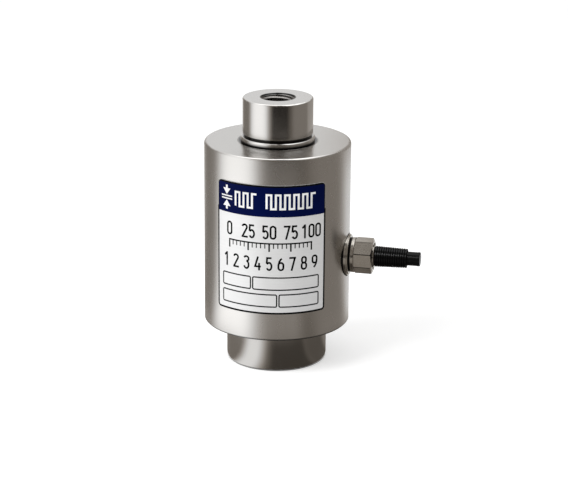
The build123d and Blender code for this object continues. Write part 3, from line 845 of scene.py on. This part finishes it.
def printed(name, sheet, radius, finish, thickness=ink_thickness):
    """Wraps a flat drawing round the plate, as a layer that stands as far out of a radius as into
    it."""
    bmesh.ops.remove_doubles(sheet, verts=sheet.verts, dist=merge_gap)
    strips = int(max(abs(vertex.co.x) for vertex in sheet.verts) / strip_width)
    for cut in range(-strips, strips + 1):
        bmesh.ops.bisect_plane(sheet, geom=sheet.verts[:] + sheet.edges[:] + sheet.faces[:],
                               plane_co=(cut * strip_width, 0, 0), plane_no=(1, 0, 0), dist=cut_gap)
    raised = bmesh.ops.extrude_face_region(sheet, geom=sheet.faces[:], use_keep_orig=True)["geom"]
    for vertex in raised:
        if isinstance(vertex, bmesh.types.BMVert):
            vertex.co.z = 1.0
    for vertex in sheet.verts:
        turn = plate_centre + vertex.co.x / plate_radius
        at = radius + (2 * vertex.co.z - 1) * thickness
        vertex.co = Vector((cos(turn) * at, sin(turn) * at, vertex.co.y)) * mm
    return piece(name, sheet, finish)


print("a strip spans", round(degrees(strip_width / plate_radius), 2), "degrees")

# %% [markdown]
# The print on the plate: black ink
#
# The black outline runs just inside the plate's edge, up to the header. Under the header stand a
# scale from 0 to 100 with long and short ticks, a row of step numbers, and two rows of ruled fields
# for data that would be stamped in later.

# %% Outline
outline = bmesh.new()
inset = outline_width / 2
edge = round_box(field_left + inset, field_bottom + inset, field_right - field_left - outline_width,
                 field_top - field_bottom - outline_width, plate_corner - inset)
foot_of_edge = [point for point in edge if point[1] < (field_bottom + header_bottom) / 2]
stroke(outline, [(field_left + inset, header_bottom), *foot_of_edge,
                 (field_right - inset, header_bottom)], outline_width)
printed("plate_outline", outline, plate_radius, "black_ink")

# %% Scale and step numbers
scale_width, scale_top, scale_line, numbers_bottom = 58, 97.0, 1.0, 100.0
long_tick, short_tick = (5.6, 1.1), (3.4, 0.7)
scale = bmesh.new()
for number in range(0, 101, 25):
    numerals(scale, str(number), (number / 100 - 0.5) * scale_width, numbers_bottom)
for tick in range(0, 101, 5):
    length, width = long_tick if tick % 25 == 0 else short_tick
    bar(scale, (tick / 100 - 0.5) * scale_width - width / 2, scale_top - length, width, length)
bar(scale, -(scale_width + long_tick[1]) / 2, scale_top - scale_line / 2,
    scale_width + long_tick[1], scale_line)
printed("plate_scale", scale, plate_radius, "black_ink")

steps_bottom, steps_pitch = 78.0, 7.9
steps = bmesh.new()
for step in range(1, 10):
    numerals(steps, str(step), (step - 5) * steps_pitch, steps_bottom)
printed("plate_steps", steps, plate_radius, "black_ink")

# %% Blank fields
field_height, field_gap, field_corner, field_line = 8.6, 1.6, 1.0, 0.9
field_rows = {64.5: (-35.5, -12.0, 35.5), 52.5: (-35.5, 6.0, 35.5)}
fields = bmesh.new()
for bottom, splits in field_rows.items():
    for left, right in zip(splits, splits[1:]):
        stroke(fields, round_box(left + field_gap / 2, bottom, right - left - field_gap,
                                 field_height, field_corner), field_line, closed=True)
printed("plate_fields", fields, plate_radius, "black_ink")

# %% [markdown]
# The print on the plate: the header
#
# The header's film has round corners all round, but where it meets the silver field its lower
# corners are square, so two small blue squares fill them. On the blue stand a load cell's signs in
# white: two arrows that press on two bars, and the zigzag of a wire gauge. The zigzag leaves out a
# narrow gap where the plate comes nearest to the side of the CAD model's box, so that the ink's
# thickness stays inside that box.

# %% Header corners
patch, patch_lift, patch_thickness = 3.2, 0.06, 0.05
corners = bmesh.new()
for left in (field_left, field_right - patch):
    bar(corners, left, header_bottom, patch, patch)
printed("header_corners", corners, plate_radius + patch_lift, "header_blue",
        thickness=patch_thickness)

# %% White signs on the header
sign_radius, sign_middle, arrow_middle = 50.62, 125.9, -31.4
arrow_gap, arrow_length, arrow_half_width, shaft_length, shaft_width = 1.9, 4.2, 3.2, 2.2, 1.6
pressed_width, pressed_height, pressed_gap = 9.2, 0.9, 0.95
signs = bmesh.new()
for side in (-1, 1):
    tip = sign_middle + side * arrow_gap
    wings = tip + side * arrow_length
    shape(signs, [(arrow_middle, tip), (arrow_middle + arrow_half_width, wings),
                  (arrow_middle - arrow_half_width, wings)][::side])
    bar(signs, arrow_middle - shaft_width / 2, wings if side > 0 else wings - shaft_length,
        shaft_width, shaft_length)
    bar(signs, arrow_middle - pressed_width / 2,
        sign_middle + side * pressed_gap - pressed_height / 2, pressed_width, pressed_height)

leg_step, leg_height, wire_width = 3.05, 9.6, 1.4
zigzag_ends = (-24.0, -8.7), (-1.8, 33.9)
for first_leg, last_leg in zigzag_ends:
    zigzag = [(first_leg, sign_middle - leg_height / 2)]
    for leg in range(int((last_leg - first_leg) / leg_step)):
        across = first_leg + leg * leg_step
        end = sign_middle + (leg_height / 2 if leg % 2 == 0 else -leg_height / 2)
        zigzag += [(across, end), (across + leg_step, end)]
    stroke(signs, zigzag, wire_width)
printed("header_signs", signs, sign_radius, "white_ink")

# %% [markdown]
# The screw threads
#
# Both ends of the column have a coarse M22 thread for a load button or a lifting eye. The CAD model
# has plain bores at the thread's outer size, so the thread is added as the ridge of steel that a
# tap leaves standing: a section of 60 degrees, swept along a right-hand helix. The countersink's
# cone cuts the first turn, which is why the ridge fades out towards the mouth.

# %% Thread's section
bore_radius, thread_crest, thread_pitch, thread_root_lap = 11.0, 9.65, 2.5, 0.02
crest_flat, root_flat = thread_pitch / 4, thread_pitch / 8
thread_steps = 72
half_root, half_crest = (thread_pitch - root_flat) / 2, crest_flat / 2
thread_section = [(bore_radius + thread_root_lap, half_root), (thread_crest, half_crest),
                  (thread_crest, -half_crest), (bore_radius + thread_root_lap, -half_root)]
print("thread", thread_pitch, "mm, ridge", round(bore_radius - thread_crest, 2), "mm high")

# %% Threads
def sweep(mesh, rows, closed):
    """Joins rows of points to a skin, and closes it to a ring or with a face at each end."""
    for row, following in zip(rows, rows[1:] + rows[:1] if closed else rows[1:]):
        for a, b, c, d in zip(row, row[1:] + row[:1], following[1:] + following[:1], following):
            mesh.faces.new((a, b, c, d)).smooth = closed
    if not closed:
        mesh.faces.new(rows[0])
        mesh.faces.new(rows[-1])


def thread(name, mouth, deep_end):
    """A thread ridge between the mouth of a bore and its deep end, both heights in mm."""
    inward = 1 if mouth > deep_end else -1
    low, high = sorted((mouth + inward * half_root, deep_end))
    mesh = bmesh.new()
    rows = []
    for step in range(int((high - low) / thread_pitch * thread_steps) + 1):
        turn = radians(step * 360 / thread_steps)
        centre = low + step * thread_pitch / thread_steps
        row = []
        for radius, offset in thread_section:
            depth = max((mouth - centre - offset) * inward, 0)
            radius = max(radius, bore_radius - depth)
            row.append(mesh.verts.new((radius * cos(turn) * mm, radius * sin(turn) * mm,
                                       (mouth - depth * inward) * mm)))
        rows.append(row)
    sweep(mesh, rows, closed=False)
    bmesh.ops.remove_doubles(mesh, verts=mesh.verts, dist=merge_gap * mm)
    bmesh.ops.dissolve_degenerate(mesh, edges=mesh.edges, dist=merge_gap * mm)
    return piece(name, mesh, "tapped_steel")


finishes["tapped_steel"] = turned("tapped_steel", (0.24, 0.23, 0.22), 0.28, depth=3e-6,
                                  pitch=0.0003)
thread("top_thread", mouth=183.9, deep_end=161.0)
thread("base_thread", mouth=1.1, deep_end=24.0)

# %% [markdown]
# The diaphragm's weld
#
# The thin steel ring that closes the housing round the boss is welded in by a beam, flush with the
# roof. What is left to see is one fine raised line, turned here from a low rounded section.

# %% Weld seam
weld_radius, weld_half_width, weld_rise, weld_root, roof = 27.33, 0.28, 0.07, -0.05, 155.0
shoulder_out, shoulder_up = weld_half_width * 0.6, weld_rise * 0.75
weld_section = [(-weld_half_width, weld_root), (-shoulder_out, shoulder_up), (0, weld_rise),
                (shoulder_out, shoulder_up), (weld_half_width, weld_root)]
weld_steps = 144
weld = bmesh.new()
rows = []
for step in range(weld_steps):
    turn = radians(step * 360 / weld_steps)
    rows.append([weld.verts.new(((weld_radius + out) * cos(turn) * mm,
                                 (weld_radius + out) * sin(turn) * mm, (roof + up) * mm))
                 for out, up in weld_section])
sweep(weld, rows, closed=True)
finishes["weld_steel"] = turned("weld_steel", (0.30, 0.285, 0.265), 0.20, depth=2e-6)
piece("diaphragm_weld", weld, "weld_steel")

# %% [markdown]
# Dressing the CAD nodes
#
# Each node names a slot of the record, and most take the finish of that name. Two have one of their
# own: the load column is ground finer than the housing, because its bosses carry the load, and the
# boot's rubber knows its ribs.

# %% Dress the nodes
own_finish = {"load_column": "ground_steel", "strain_relief_boot": "boot_rubber"}
for name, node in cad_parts.items():
    wanted = own_finish.get(name, node.data.materials[0].name.split(".")[0])
    for slot in node.material_slots:
        slot.material = finishes[wanted].material
print(len(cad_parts), "nodes dressed in", len(finishes), "finishes")

# %% [markdown]
# The last lines
#
# The dressing of the nodes is the last step of the script.
